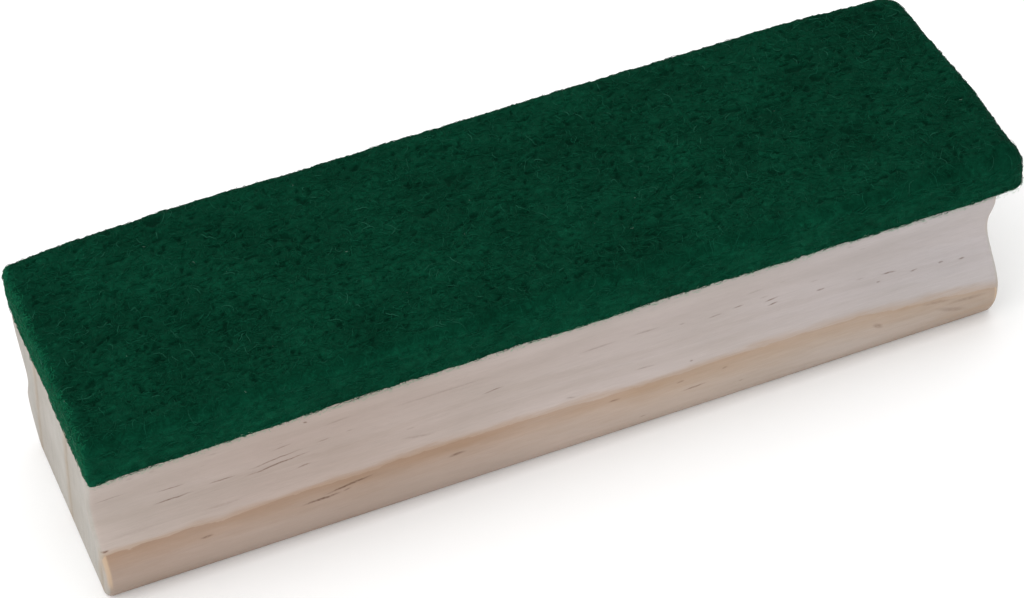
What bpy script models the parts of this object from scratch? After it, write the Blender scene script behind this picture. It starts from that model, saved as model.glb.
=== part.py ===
"""Chalkboard eraser: a pine block with a finger cove along each long side and
a thick felt pad glued to its face.

Frame: metres, +Z up.  X runs along the length, left to right, and Y across the
width, near to far.  The origin is the middle of the flat back of the block,
which is the face the eraser stands on.  The wiping face of the felt points to +Z.
"""

import math

import bmesh
import bpy

MM = 0.001

# ---------------------------------------------------------------- dimensions
# wood block
BLOCK_LENGTH = 150.0 * MM
BLOCK_HEIGHT = 28.1 * MM        # flat back to the glued face
BACK_HALF = 18.3 * MM           # half width of the flat back
BULGE_HALF = 21.7 * MM          # half width at the widest place
WAIST_HALF = 17.6 * MM          # half width at the bottom of the finger cove
LIP_HALF = 20.7 * MM            # half width under the felt
BULGE_Z = 7.6 * MM              # height of the widest place
WAIST_Z = 17.0 * MM             # height of the deepest place of the cove
LIP_Z = 26.6 * MM               # height at which the cove meets the lip
BULGE_ROUND_SHARE = 0.30        # elliptical share of the bulge; the rest is a sine
END_EASING = 1.2 * MM           # radius of the eased edges of both ends
END_EASING_LOW = 0.25           # share of it along the edge of the flat back
LIP_EASING = 0.4 * MM           # radius of the eased edges of the glued face

# glue film
GLUE_THICKNESS = 0.30 * MM
GLUE_INSET = 0.7 * MM           # the film stops short of the lip
GLUE_END_INSET = GLUE_INSET + 0.3 * END_EASING
GLUE_CORNER = 1.5 * MM          # plan radius of its corners
CLEARANCE = 0.10 * MM           # gap between a piece and the one it lies on

# felt pad
FELT_THICKNESS = 7.6 * MM
FELT_NEAR = 23.5 * MM           # near edge of the pad from the middle plane
FELT_FAR = 22.9 * MM            # far edge
FELT_OVERHANG = 2.95 * MM       # past the right end; the left end is flush
FELT_SKEW = 1.05 * MM           # right end cut askew: longer at the near side
FELT_BOW_NEAR = 0.9 * MM        # the near edge is cut slightly hollow
FELT_BOW_FAR = 0.5 * MM         # and the far edge slightly full
FELT_ROUND = 1.9 * MM           # radius of the upper edge
FELT_UNDER_ROUND = 0.5 * MM     # radius of the lower edge
FELT_CORNER_LEFT_NEAR = 0.7 * MM    # plan radius of each corner
FELT_CORNER_LEFT_FAR = 2.6 * MM
FELT_CORNER_RIGHT_NEAR = 2.9 * MM
FELT_CORNER_RIGHT_FAR = 3.6 * MM

# How far a long edge falls back beside a corner, and where along the pad,
# as a share of its length from the left end.
FALL_FAR_LEFT = 1.0 * MM
FALL_FAR_LEFT_REACH = 0.045     # it dies away as a bell curve of this reach
FALL_FAR_RIGHT = 0.9 * MM
FALL_FAR_RIGHT_START = 0.895
FALL_FAR_RIGHT_RUN = 0.07       # it reaches its full depth over this run
FALL_NEAR_RIGHT = 0.45 * MM
FALL_NEAR_RIGHT_START = 0.92
FALL_NEAR_RIGHT_RUN = 0.06

# tessellation
PROFILE_STEPS = 18              # in each of the three spans of the side profile
BULGE_SPACING_POWER = 1.8       # draws the lowest heights closer together
EASING_STEPS = 4
FELT_ROUND_STEPS = EASING_STEPS + 2
CORNER_STEPS = 8
EDGE_STEPS = 24                 # along a long edge of the pad
SHARP_ANGLE = math.radians(35.0)    # edges steeper than this are shaded sharp


# ---------------------------------------------------------------- helpers
def clear_scene():
    for obj in list(bpy.data.objects):
        bpy.data.objects.remove(obj, do_unlink=True)


def principled(name, colour, roughness):
    material = bpy.data.materials.new(name)
    material.use_nodes = True
    shader = material.node_tree.nodes["Principled BSDF"]
    shader.inputs["Base Color"].default_value = (*colour, 1.0)
    shader.inputs["Roughness"].default_value = roughness
    material.diffuse_color = (*colour, 1.0)
    return material


def add_lofted(name, rings, material):
    """Add a solid that bridges closed rings of equal length, capped at both ends."""
    bm = bmesh.new()
    rows = [[bm.verts.new(point) for point in ring] for ring in rings]
    count = len(rows[0])
    for low, high in zip(rows, rows[1:]):
        for i in range(count):
            j = (i + 1) % count
            bm.faces.new((low[i], low[j], high[j], high[i]))
    bm.faces.new(list(reversed(rows[0])))
    bm.faces.new(rows[-1])
    bmesh.ops.recalc_face_normals(bm, faces=bm.faces)

    mesh = bpy.data.meshes.new(name)
    bm.to_mesh(mesh)
    bm.free()
    mesh.materials.append(material)
    mesh.shade_smooth()
    mesh.set_sharp_from_angle(angle=SHARP_ANGLE)
    bpy.context.scene.collection.objects.link(bpy.data.objects.new(name, mesh))


def eased_edge(radius, steps):
    """Quarter round between two faces, as distances in from each of them.

    It starts on the first face, a radius away from the second, and ends on
    the second, a radius away from the first.
    """
    angles = [math.pi / 2.0 * i / steps for i in range(steps + 1)]
    return [(radius * (1.0 - math.cos(angle)), radius * (1.0 - math.sin(angle)))
            for angle in angles]


def plan_corner(corner_x, corner_y, radius, start_degrees):
    """Quarter arc, anticlockwise, that rounds a corner of a plan about the origin."""
    centre_x = corner_x - math.copysign(radius, corner_x)
    centre_y = corner_y - math.copysign(radius, corner_y)
    points = []
    for i in range(CORNER_STEPS + 1):
        angle = math.radians(start_degrees + 90.0 * i / CORNER_STEPS)
        points.append((centre_x + radius * math.cos(angle),
                       centre_y + radius * math.sin(angle)))
    return points


def shrink_outline(points, distance):
    """Scale an outline about the middle of its box, whose sides move in by distance."""
    us, vs = zip(*points)
    middle_u = (min(us) + max(us)) / 2.0
    middle_v = (min(vs) + max(vs)) / 2.0
    scale_u = 1.0 - 2.0 * distance / (max(us) - min(us))
    scale_v = 1.0 - 2.0 * distance / (max(vs) - min(vs))
    return [(middle_u + (u - middle_u) * scale_u, middle_v + (v - middle_v) * scale_v)
            for u, v in points]


def mix(start, end, share):
    return start + (end - start) * share


def half_wave(t):
    """Rise from 0 to 1 as t does, level at both ends."""
    return 0.5 - 0.5 * math.cos(math.pi * t)


def smooth_step(t):
    t = min(1.0, max(0.0, t))
    return t * t * (3.0 - 2.0 * t)


# ---------------------------------------------------------------- wood block
def block_half_width(z):
    """Half width of the block at height z above its flat back."""
    if z < BULGE_Z:
        t = z / BULGE_Z
        elliptical = math.sqrt(1.0 - (1.0 - t) ** 2)
        sine = math.sin(t * math.pi / 2.0)
        return mix(BACK_HALF, BULGE_HALF, mix(sine, elliptical, BULGE_ROUND_SHARE))
    if z < WAIST_Z:
        t = (z - BULGE_Z) / (WAIST_Z - BULGE_Z)
        return mix(BULGE_HALF, WAIST_HALF, half_wave(t))
    t = (z - WAIST_Z) / (LIP_Z - WAIST_Z)
    return mix(WAIST_HALF, LIP_HALF, half_wave(t))


def block_heights():
    """Heights of the side profile, from the flat back to the lip."""
    shares = [i / PROFILE_STEPS for i in range(PROFILE_STEPS)]
    heights = [BULGE_Z * share ** BULGE_SPACING_POWER for share in shares]
    heights += [mix(BULGE_Z, WAIST_Z, share) for share in shares]
    heights += [mix(WAIST_Z, LIP_Z, share) for share in shares]
    return heights + [LIP_Z]


def block_outline():
    """Closed cross-section as (y, z), anticlockwise seen along -X."""
    side = [(block_half_width(z), z) for z in block_heights()]
    side += [(LIP_HALF - inset, BLOCK_HEIGHT - drop)
             for inset, drop in eased_edge(LIP_EASING, EASING_STEPS)]
    return side + [(-y, z) for y, z in reversed(side)]


def eased_section(outline, inset):
    """Cross-section drawn in by inset, but by less along the flat back."""
    middle = BLOCK_HEIGHT / 2.0
    stretch_low = 1.0 + (1.0 - END_EASING_LOW) * inset / middle
    return [(y, mix(middle, z, stretch_low) if z < middle else z)
            for y, z in shrink_outline(outline, inset)]


def pine_wood():
    return principled("pine_wood", colour=(0.62, 0.50, 0.39), roughness=0.62)


def build_block():
    outline = block_outline()
    end_x = BLOCK_LENGTH / 2.0
    easing = eased_edge(END_EASING, EASING_STEPS)   # depth from the end, inset
    stations = [(-end_x + depth, inset) for depth, inset in easing]
    stations += [(end_x - depth, inset) for depth, inset in reversed(easing)]
    rings = [[(x, y, z) for y, z in eased_section(outline, inset)]
             for x, inset in stations]
    add_lofted("wood_handle", rings, pine_wood())


# ---------------------------------------------------------------- glue film
def contact_glue():
    return principled("contact_glue", colour=(0.60, 0.52, 0.36), roughness=0.35)


def build_glue():
    half_x = BLOCK_LENGTH / 2.0 - GLUE_END_INSET
    half_y = LIP_HALF - GLUE_INSET
    bottom = BLOCK_HEIGHT + CLEARANCE
    outline = []
    for i, (sign_x, sign_y) in enumerate(((1, 1), (-1, 1), (-1, -1), (1, -1))):
        outline += plan_corner(sign_x * half_x, sign_y * half_y, GLUE_CORNER, 90.0 * i)
    rings = [[(x, y, z) for x, y in outline] for z in (bottom, bottom + GLUE_THICKNESS)]
    add_lofted("adhesive_layer", rings, contact_glue())


# ---------------------------------------------------------------- felt pad
def bowed_edge(start_x, end_x, edge_y, bow):
    """Inner points of a long edge, bowed towards +Y."""
    shares = [i / EDGE_STEPS for i in range(1, EDGE_STEPS)]
    return [(mix(start_x, end_x, share), edge_y + bow * math.sin(math.pi * share))
            for share in shares]


def felt_outline():
    """Plan of the pad, anticlockwise from its far right corner."""
    left = -BLOCK_LENGTH / 2.0
    right = BLOCK_LENGTH / 2.0 + FELT_OVERHANG
    points = plan_corner(right, FELT_FAR, FELT_CORNER_RIGHT_FAR, 0.0)
    points += bowed_edge(right - FELT_CORNER_RIGHT_FAR, left + FELT_CORNER_LEFT_FAR,
                         FELT_FAR, FELT_BOW_FAR)
    points += plan_corner(left, FELT_FAR, FELT_CORNER_LEFT_FAR, 90.0)
    points += plan_corner(left, -FELT_NEAR, FELT_CORNER_LEFT_NEAR, 180.0)
    points += bowed_edge(left + FELT_CORNER_LEFT_NEAR, right - FELT_CORNER_RIGHT_NEAR,
                         -FELT_NEAR, FELT_BOW_NEAR)
    points += plan_corner(right, -FELT_NEAR, FELT_CORNER_RIGHT_NEAR, 270.0)
    return [uneven_cut(x, y, (x - left) / (right - left)) for x, y in points]


def uneven_cut(x, y, along):
    """Move a plan point for the falls beside the corners and the skewed right end.

    along is its place along the pad, 0 at the left end and 1 at the right.
    """
    far_share = (y + FELT_NEAR) / (FELT_NEAR + FELT_FAR)
    far_fall = (
        FALL_FAR_LEFT * math.exp(-(along / FALL_FAR_LEFT_REACH) ** 2)
        + FALL_FAR_RIGHT * smooth_step((along - FALL_FAR_RIGHT_START) / FALL_FAR_RIGHT_RUN))
    near_fall = FALL_NEAR_RIGHT * smooth_step(
        (along - FALL_NEAR_RIGHT_START) / FALL_NEAR_RIGHT_RUN)
    return (x - FELT_SKEW * y / FELT_NEAR * along ** 3,
            y - far_share * far_fall + (1.0 - far_share) * near_fall)


def green_felt():
    return principled("green_felt", colour=(0.006, 0.055, 0.030), roughness=0.95)


def build_felt():
    outline = felt_outline()
    bottom = BLOCK_HEIGHT + GLUE_THICKNESS + 2.0 * CLEARANCE
    top = bottom + FELT_THICKNESS
    levels = [(bottom + rise, inset)
              for rise, inset in eased_edge(FELT_UNDER_ROUND, EASING_STEPS)]
    levels += [(top - drop, inset)
               for inset, drop in eased_edge(FELT_ROUND, FELT_ROUND_STEPS)]
    rings = [[(x, y, z) for x, y in shrink_outline(outline, inset)]
             for z, inset in levels]
    add_lofted("felt_pad", rings, green_felt())


def main():
    clear_scene()
    build_block()
    build_glue()
    build_felt()


main()
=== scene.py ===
"""Looks of a chalkboard eraser: a pine block lying under a thick green felt pad.

The block's length runs along X, its width along Y, and the pad lies on its +Z
face.  Left is -X and near is -Y.  Lengths are metres unless a name ends in _MM;
noise patterns and shaders work in millimetres.
"""

import math

import bpy
import numpy as np
from mathutils import Matrix, Vector
from mathutils.geometry import delaunay_2d_cdt


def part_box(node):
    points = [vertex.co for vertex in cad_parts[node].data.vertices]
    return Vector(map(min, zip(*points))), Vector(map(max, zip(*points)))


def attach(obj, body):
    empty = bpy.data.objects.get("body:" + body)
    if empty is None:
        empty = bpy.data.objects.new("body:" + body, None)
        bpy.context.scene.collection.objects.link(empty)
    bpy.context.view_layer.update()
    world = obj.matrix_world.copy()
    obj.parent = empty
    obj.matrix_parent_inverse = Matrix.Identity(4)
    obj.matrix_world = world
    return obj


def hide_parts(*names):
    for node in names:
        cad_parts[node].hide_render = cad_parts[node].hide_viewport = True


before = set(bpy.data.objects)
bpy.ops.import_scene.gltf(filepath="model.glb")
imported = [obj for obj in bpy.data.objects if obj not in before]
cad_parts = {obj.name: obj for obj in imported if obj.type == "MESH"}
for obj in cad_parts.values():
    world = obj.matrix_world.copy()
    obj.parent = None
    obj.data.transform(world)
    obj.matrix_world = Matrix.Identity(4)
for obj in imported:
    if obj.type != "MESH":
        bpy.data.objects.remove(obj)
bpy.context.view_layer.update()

WOOD_LO, WOOD_HI = [np.array(corner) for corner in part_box("wood_handle")]
FELT_LO, FELT_HI = [np.array(corner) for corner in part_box("felt_pad")]
GLUE_HI = np.array(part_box("adhesive_layer")[1])
MM = 0.001


# ------------------------------------------------------------------ noise
def hash01(cell, seed):
    """A repeatable number from 0 to 1 for each lattice point of shape (n, 3)."""
    bits = (cell[:, 0] * 374761393 + cell[:, 1] * 668265263
            + cell[:, 2] * 2147483647 + seed * 1274126177)
    bits = (bits ^ (bits >> 13)) & 0xFFFFFFFF
    bits = (bits * 1274126177) & 0xFFFFFFFF
    bits = (bits ^ (bits >> 16)) & 0xFFFFFFFF
    return bits / 4294967295.0


def noise3(points, seed):
    """Smooth value noise from -1 to 1, for points of shape (n, 3)."""
    cell = np.floor(points).astype(np.int64)
    fade = points - cell
    fade = fade * fade * fade * (fade * (fade * 6 - 15) + 10)
    total = np.zeros(len(points))
    for corner in np.ndindex(2, 2, 2):
        weight = np.where(np.array(corner) > 0, fade, 1 - fade)
        total += weight[:, 0] * weight[:, 1] * weight[:, 2] * hash01(cell + corner, seed)
    return total * 2 - 1


def fbm3(points, octaves, seed, gain=0.5):
    """Sum of ever finer and weaker noises, scaled back to -1 to 1."""
    total, weight, weights = np.zeros(len(points)), 1.0, 0.0
    for k in range(octaves):
        total += weight * noise3(points * (2.03 ** k) + 17.3 * k, seed + 7 * k)
        weights += weight
        weight *= gain
    return total / weights


def padded(*columns):
    """One or two columns of coordinates, filled up with zeros to three."""
    zeros = np.zeros(len(columns[0]))
    return np.column_stack([*columns] + [zeros] * (3 - len(columns)))


def smooth01(share):
    share = np.clip(share, 0.0, 1.0)
    return share * share * (3 - 2 * share)


# ------------------------------------------------------------------ mesh helpers
def mesh_from(name, verts, quads, tris):
    """A smooth-shaded object from vertices, quads and triangles."""
    verts = np.asarray(verts, dtype=np.float32)
    loops = np.concatenate([np.ravel(quads), np.ravel(tris)]).astype(np.int32)
    sizes = np.repeat([4, 3], [len(quads), len(tris)]).astype(np.int32)
    starts = (np.cumsum(sizes) - sizes).astype(np.int32)
    mesh = bpy.data.meshes.new(name)
    mesh.vertices.add(len(verts))
    mesh.vertices.foreach_set("co", verts.ravel())
    mesh.loops.add(len(loops))
    mesh.loops.foreach_set("vertex_index", loops)
    mesh.polygons.add(len(sizes))
    mesh.polygons.foreach_set("loop_start", starts)
    mesh.polygons.foreach_set("loop_total", sizes)
    mesh.update(calc_edges=True)
    mesh.validate()
    mesh.shade_smooth()
    piece = bpy.data.objects.new(name, mesh)
    bpy.context.scene.collection.objects.link(piece)
    return piece


def point_attribute(piece, name, values):
    layer = piece.data.attributes.new(name, "FLOAT", "POINT")
    layer.data.foreach_set("value", np.asarray(values, dtype=np.float32))


def ring_quads(rings, count):
    """Quads joining rings of count vertices, numbered ring after ring."""
    here = np.arange(count)
    after = np.roll(here, -1)
    return np.concatenate([
        np.stack([at + here, at + after, at + count + after, at + count + here], -1)
        for at in range(0, (rings - 1) * count, count)])


def cap(verts, base, count, first, axis, sign):
    """Triangles that fill a closed ring and face along an axis, either way by sign.

    The ring is the count vertices from base; the points inside it run from first
    to the last vertex.
    """
    plane = [k for k in range(3) if k != axis]
    numbers = [*range(base, base + count), *range(first, len(verts))]
    points = [Vector((float(a), float(b))) for a, b in verts[numbers][:, plane]]
    edges = [(i, (i + 1) % count) for i in range(count)]
    _, _, faces, sources, _, _ = delaunay_2d_cdt(points, edges, [], 1, 1e-9)
    # a point made by the triangulation has no source, and its triangles are left out
    source = [found[0] if found else -1 for found in sources]
    tris = []
    for face in faces:
        face = [source[i] for i in face]
        if min(face) < 0 or len(face) != 3:
            continue
        face = [numbers[i] for i in face]
        corners = verts[face]
        facing = np.cross(corners[1] - corners[0], corners[2] - corners[0])[axis]
        tris.append(face if facing * sign > 0 else face[::-1])
    return tris


# ------------------------------------------------------------------ shader helper
class Shader:
    """A material whose nodes are added one call at a time."""

    def __init__(self, name):
        self.material = bpy.data.materials.new(name)
        self.material.use_nodes = True
        self.tree = self.material.node_tree
        self.tree.nodes.clear()
        output = self.new("ShaderNodeOutputMaterial")
        self.bsdf = self.new("ShaderNodeBsdfPrincipled")
        self.put(output.inputs["Surface"], self.bsdf.outputs["BSDF"])

    def new(self, kind, **props):
        node = self.tree.nodes.new(kind)
        for key, value in props.items():
            setattr(node, key, value)
        return node

    def put(self, socket, value):
        if isinstance(value, bpy.types.NodeSocket):
            self.tree.links.new(value, socket)
        else:
            socket.default_value = value

    def surface(self, **values):
        """Sets inputs of the surface; an underscore stands for a space."""
        for key, value in values.items():
            self.put(self.bsdf.inputs[key.replace("_", " ")], value)

    def math(self, operation, first, second=0.0, clamp=False):
        node = self.new("ShaderNodeMath", operation=operation, use_clamp=clamp)
        self.put(node.inputs[0], first)
        self.put(node.inputs[1], second)
        return node.outputs[0]

    def add(self, first, second):
        return self.math("ADD", first, second)

    def sub(self, first, second):
        return self.math("SUBTRACT", first, second)

    def mul(self, first, second, clamp=False):
        return self.math("MULTIPLY", first, second, clamp)

    def swing(self, noise, size):
        """A noise centred on zero, size from its lowest to its highest."""
        return self.mul(self.sub(noise, 0.5), size)

    def ease(self, value, span, out=(0.0, 1.0), kind="SMOOTHSTEP"):
        """Takes value from one span to another with a soft start and end."""
        node = self.new("ShaderNodeMapRange", interpolation_type=kind, clamp=True)
        self.put(node.inputs["Value"], value)
        for names, pair in ((("From Min", "From Max"), span), (("To Min", "To Max"), out)):
            for name, limit in zip(names, pair):
                self.put(node.inputs[name], limit)
        return node.outputs["Result"]

    def linear(self, value, span, out=(0.0, 1.0)):
        return self.ease(value, span, out, "LINEAR")

    def noise(self, vector, stretch=None, scale=1.0, detail=3.0, rough=0.5, output="Fac"):
        if stretch:
            node = self.new("ShaderNodeVectorMath", operation="MULTIPLY")
            self.put(node.inputs[0], vector)
            self.put(node.inputs[1], stretch)
            vector = node.outputs[0]
        node = self.new("ShaderNodeTexNoise")
        self.put(node.inputs["Vector"], vector)
        self.put(node.inputs["Scale"], scale)
        self.put(node.inputs["Detail"], detail)
        self.put(node.inputs["Roughness"], rough)
        return node.outputs[output]

    def scaled(self, vector, scale):
        node = self.new("ShaderNodeVectorMath", operation="SCALE")
        self.put(node.inputs[0], vector)
        self.put(node.inputs["Scale"], scale)
        return node.outputs[0]

    def point_mm(self):
        return self.scaled(self.new("ShaderNodeTexCoord").outputs["Object"], 1000.0)

    def split(self, vector):
        node = self.new("ShaderNodeSeparateXYZ")
        self.put(node.inputs[0], vector)
        return list(node.outputs)

    def normal(self):
        return self.split(self.new("ShaderNodeNewGeometry").outputs["Normal"])

    def combine(self, x, y, z):
        node = self.new("ShaderNodeCombineXYZ")
        for socket, value in zip(node.inputs, (x, y, z)):
            self.put(socket, value)
        return node.outputs[0]

    def bump(self, height, distance, strength):
        node = self.new("ShaderNodeBump")
        self.put(node.inputs["Distance"], distance)
        self.put(node.inputs["Strength"], strength)
        self.put(node.inputs["Height"], height)
        return node.outputs["Normal"]

    def box_place(self, vector, centre, half, turn):
        """Coordinates inside a turned box of the XY plane, 1 at its faces; Z hardly counts."""
        node = self.new("ShaderNodeMapping", vector_type="TEXTURE")
        self.put(node.inputs["Vector"], vector)
        self.put(node.inputs["Location"], (*centre, 0.0))
        self.put(node.inputs["Rotation"], (0.0, 0.0, turn))
        self.put(node.inputs["Scale"], (*half, 1e6))
        return node.outputs[0]

    def attribute(self, name):
        return self.new("ShaderNodeAttribute", attribute_name=name).outputs["Fac"]

    def mix(self, factor, first, second, mode="MIX"):
        node = self.new("ShaderNodeMix", data_type="RGBA", blend_type=mode, clamp_factor=True)
        self.put(node.inputs[0], factor)
        for name, colour in (("A", first), ("B", second)):
            socket = [s for s in node.inputs if s.name == name and s.type == "RGBA"][0]
            self.put(socket, (*colour, 1.0) if isinstance(colour, tuple) else colour)
        return [s for s in node.outputs if s.type == "RGBA"][0]

    def tint(self, colour, tint):
        return self.mix(1.0, colour, tint, "MULTIPLY")

    def shade(self, colour, value):
        """Multiplies a colour by one value."""
        return self.tint(colour, self.combine(value, value, value))

    def tones(self, place, first, steps):
        """Passes from one colour to the next at the (start, end, colour) steps."""
        colour = first
        for start, end, tone in steps:
            colour = self.mix(self.linear(place, span=(start, end)), colour, tone)
        return colour


# ------------------------------------------------------------------ wood: the rings
# Growth rings are nearly flat sheets that lean in the cross-section.  A ring's
# latewood darkens towards its outer limit and fades out soon after it.
HALF_LENGTH_MM = 75.0
RING_LEAN = math.radians(20.0)
RING_STEP_MM = 15.65
RING_AT_MM = -15.35             # one outer limit, along the sheets' normal
# the sheets wander across the width; places are counted from the left end
SWAY_MM, SWAY_END_MM = -0.28, 60.0
DRIFT_MM, DRIFT_SPAN_MM = -0.66, (65.0, 100.0)
BEND_MM, BEND_FROM_MM, BEND_LENGTH_MM = -1.9, 110.0, 40.0


def ring_shift_mm(x_mm):
    """How far the sheets wander across the width at a place along the block."""
    along = x_mm + HALF_LENGTH_MM
    start, end = DRIFT_SPAN_MM
    return (SWAY_MM * np.sin(math.pi * along / SWAY_END_MM) * (along < SWAY_END_MM)
            + DRIFT_MM * smooth01((along - start) / (end - start))
            + BEND_MM * (np.maximum(along - BEND_FROM_MM, 0.0) / BEND_LENGTH_MM) ** 2)


def ring_place(x_mm, y_mm, z_mm):
    """Place within a ring, from 0 to 1."""
    across = (y_mm - ring_shift_mm(x_mm)) * math.cos(RING_LEAN) + z_mm * math.sin(RING_LEAN)
    place = (across - RING_AT_MM) / RING_STEP_MM
    return place - np.floor(place)


# short brown resin streaks on the near side, each a slim ellipse: x and z of its
# two ends, x counted from the left end; then its width and how strong it is
NEAR_STREAKS_MM = (
    (0.8, 20.05, 6.1, 20.3, 0.34, 0.62), (3.2, 20.2, 4.8, 20.3, 0.30, 0.50),
    (10.6, 17.6, 15.4, 17.65, 0.28, 0.80), (9.7, 15.55, 16.2, 15.65, 0.26, 0.90),
    (18.7, 15.9, 23.5, 16.05, 0.26, 0.75), (24.4, 15.3, 35.6, 16.05, 0.28, 0.95),
    (25.0, 16.2, 34.7, 17.05, 0.26, 0.80), (29.3, 18.7, 32.6, 19.2, 0.34, 0.70),
    (29.7, 20.2, 31.2, 20.25, 0.30, 0.30), (32.6, 14.15, 35.0, 14.3, 0.24, 0.70),
    (36.4, 17.35, 38.8, 17.45, 0.30, 0.45), (41.2, 17.7, 42.6, 17.75, 0.26, 0.35),
    (37.6, 21.8, 42.0, 22.2, 0.75, 0.35), (48.2, 20.35, 64.4, 20.2, 0.80, 0.28),
    (52.0, 20.3, 55.5, 20.25, 0.36, 0.30), (59.0, 20.3, 63.5, 20.2, 0.34, 0.35),
    (63.5, 16.4, 67.1, 16.5, 0.26, 0.75), (50.6, 14.6, 52.0, 14.6, 0.24, 0.30),
    (34.2, 25.3, 34.8, 24.9, 0.50, 1.10), (0.3, 11.5, 1.5, 11.5, 0.36, 1.10),
    (31.8, 9.05, 38.5, 9.3, 0.44, 1.00), (35.3, 9.6, 44.1, 10.4, 0.34, 1.00),
    (38.5, 9.35, 40.0, 9.45, 0.28, 0.60), (15.3, 9.05, 17.6, 9.1, 0.44, 0.75),
    (55.9, 9.3, 58.8, 9.35, 0.50, 0.80), (6.0, 24.8, 7.3, 24.9, 0.80, 0.25),
    (9.6, 25.1, 10.8, 24.9, 0.70, 0.22), (19.0, 24.4, 20.4, 24.3, 0.60, 0.25),
    (17.6, 21.4, 18.8, 21.4, 0.40, 0.22), (0.5, 12.65, 11.8, 12.8, 0.70, 0.14),
    (16.5, 12.6, 23.5, 12.6, 0.45, 0.22), (49.5, 13.5, 55.0, 13.0, 0.40, 0.25),
    (79.4, 18.3, 86.2, 18.6, 0.60, 0.40), (88.5, 18.6, 93.2, 18.6, 0.65, 0.42),
    (80.5, 18.4, 83.0, 18.5, 0.28, 0.35), (89.5, 18.65, 92.4, 18.6, 0.28, 0.40),
    (96.5, 17.6, 97.4, 17.6, 0.28, 0.50), (101.3, 17.0, 103.8, 17.05, 0.30, 0.65),
    (105.6, 17.35, 107.5, 17.5, 0.32, 0.85), (111.0, 16.6, 113.4, 16.75, 0.30, 1.00),
    (111.4, 15.75, 113.2, 15.85, 0.28, 1.00), (110.2, 17.7, 111.8, 17.7, 0.28, 0.40),
    (107.6, 20.1, 110.6, 20.25, 0.60, 0.32), (113.3, 20.5, 114.4, 20.5, 0.40, 0.25),
    (118.8, 17.7, 120.3, 17.7, 0.30, 0.35), (119.8, 15.65, 121.2, 15.65, 0.30, 1.00),
    (126.5, 15.3, 128.0, 15.3, 0.28, 0.40), (130.8, 14.95, 133.4, 14.7, 0.28, 0.90),
    (129.8, 14.0, 130.4, 14.0, 0.28, 0.60), (135.6, 14.05, 136.9, 14.05, 0.26, 0.70),
    (140.6, 14.0, 141.4, 14.0, 0.28, 0.85), (144.0, 13.6, 145.0, 13.6, 0.28, 0.85),
    (136.9, 25.35, 137.7, 25.25, 0.30, 0.40), (124.0, 25.5, 124.9, 25.1, 0.50, 0.28),
    (126.2, 23.8, 127.5, 23.2, 0.50, 0.22), (82.6, 9.65, 84.7, 9.65, 0.32, 0.65),
    (76.2, 12.0, 77.7, 11.9, 0.28, 0.45), (88.0, 12.75, 91.8, 12.6, 0.28, 0.35),
    (97.0, 11.6, 97.5, 11.6, 0.30, 0.60), (94.1, 9.25, 95.3, 9.25, 0.28, 0.65),
    (94.7, 7.35, 99.1, 7.7, 0.38, 0.75), (101.8, 9.2, 102.7, 9.2, 0.30, 0.55),
    (104.5, 5.4, 105.3, 5.4, 0.36, 0.45), (87.6, 4.2, 88.8, 4.2, 0.50, 0.45),
    (127.6, 8.3, 129.4, 7.3, 1.00, 0.50), (138.5, 7.4, 144.4, 4.8, 1.20, 0.38),
    (140.3, 7.7, 148.0, 7.3, 0.80, 0.35), (136.0, 9.0, 142.0, 8.3, 0.60, 0.35),
)


# ------------------------------------------------------------------ wood: the shape
# The section bulges low down, narrows to a waist and widens again to a lip.
WOOD_AROUND = 600               # points round the section
WOOD_ALONG = 118                # stations along the block between its eased ends
BULGE_Z = WOOD_LO[2] + 7.6 * MM
WAIST_Z = WOOD_LO[2] + 17.0 * MM
LIP_Z = WOOD_LO[2] + 26.6 * MM
BULGE_HALF = WOOD_HI[1]
BACK_HALF = BULGE_HALF - 3.4 * MM
WAIST_HALF = BULGE_HALF - 4.1 * MM
LIP_HALF = BULGE_HALF - 1.0 * MM
END_EASING = 1.2 * MM
LIP_EASING = 0.4 * MM
LOW_CORNER_KEPT = 0.75          # how much of the easing the long lower corners miss
END_GRID = 0.8 * MM


def half_width(z):
    """Half the block's width at a height."""
    share = np.clip((z - WOOD_LO[2]) / (BULGE_Z - WOOD_LO[2]), 0, 1)
    low = BACK_HALF + (BULGE_HALF - BACK_HALF) * (
        0.30 * np.sqrt(np.clip(1 - (1 - share) ** 2, 0, 1)) + 0.70 * np.sin(share * math.pi / 2))
    share = np.clip((z - BULGE_Z) / (WAIST_Z - BULGE_Z), 0, 1)
    middle = WAIST_HALF + (BULGE_HALF - WAIST_HALF) * (0.5 + 0.5 * np.cos(math.pi * share))
    share = np.clip((z - WAIST_Z) / (LIP_Z - WAIST_Z), 0, 1)
    top = WAIST_HALF + (LIP_HALF - WAIST_HALF) * (0.5 - 0.5 * np.cos(math.pi * share))
    return np.where(z < BULGE_Z, low, np.where(z < WAIST_Z, middle, top))


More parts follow.
